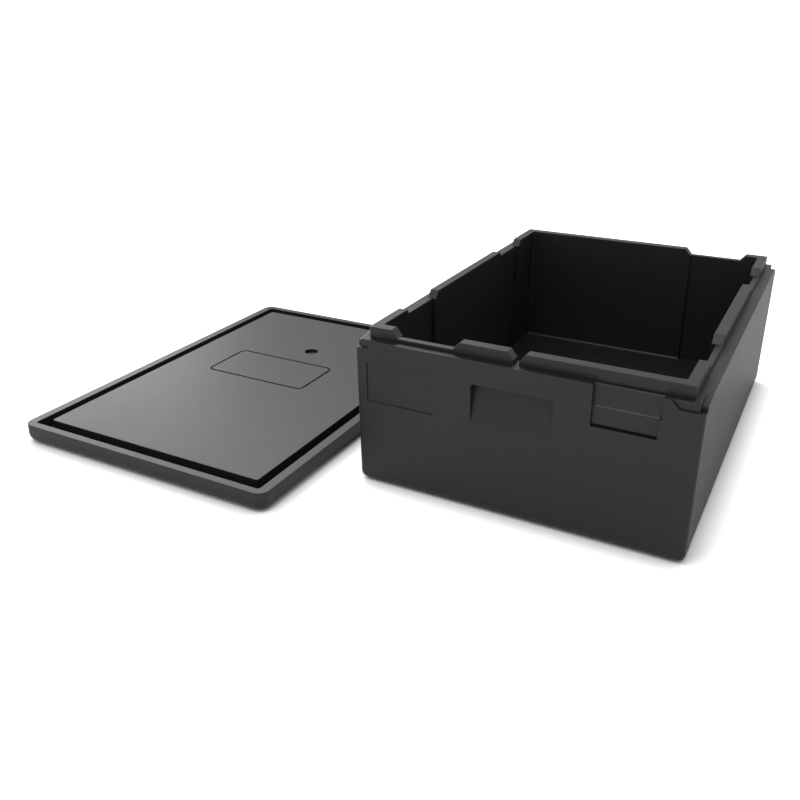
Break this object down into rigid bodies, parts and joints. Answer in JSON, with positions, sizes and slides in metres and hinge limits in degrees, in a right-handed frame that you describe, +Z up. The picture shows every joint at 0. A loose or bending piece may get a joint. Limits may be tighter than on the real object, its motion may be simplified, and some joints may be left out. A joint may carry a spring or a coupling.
{
  "type": "insulated transport box",
  "caption": "Open rectangular insulated foam transport box with a stepped rim, and its grooved lift-off lid lying beside it, sealing side up.",
  "frame": {"origin": "centre of the box's flat underside, on the floor", "axes": "+Z up out of the box, +Y from the front end with the card holder to the back end, +X to the right; the lid lies on the -X side"},
  "size_m": [1.034, 0.837, 0.245],
  "materials": {
    "box_foam": "matte moulded bead foam, black",
    "lid_foam": "matte moulded bead foam, black"
  },
  "bodies": {
    "box": {"box_shell": "box_foam"},
    "lid": {"lid": "lid_foam"}
  },
  "joints": [
    {"name": "lid_lift", "type": "slide", "parent": "box", "child": "lid", "axis": [0, 0, 1], "range_m": [0, 0.3]}
  ]
}
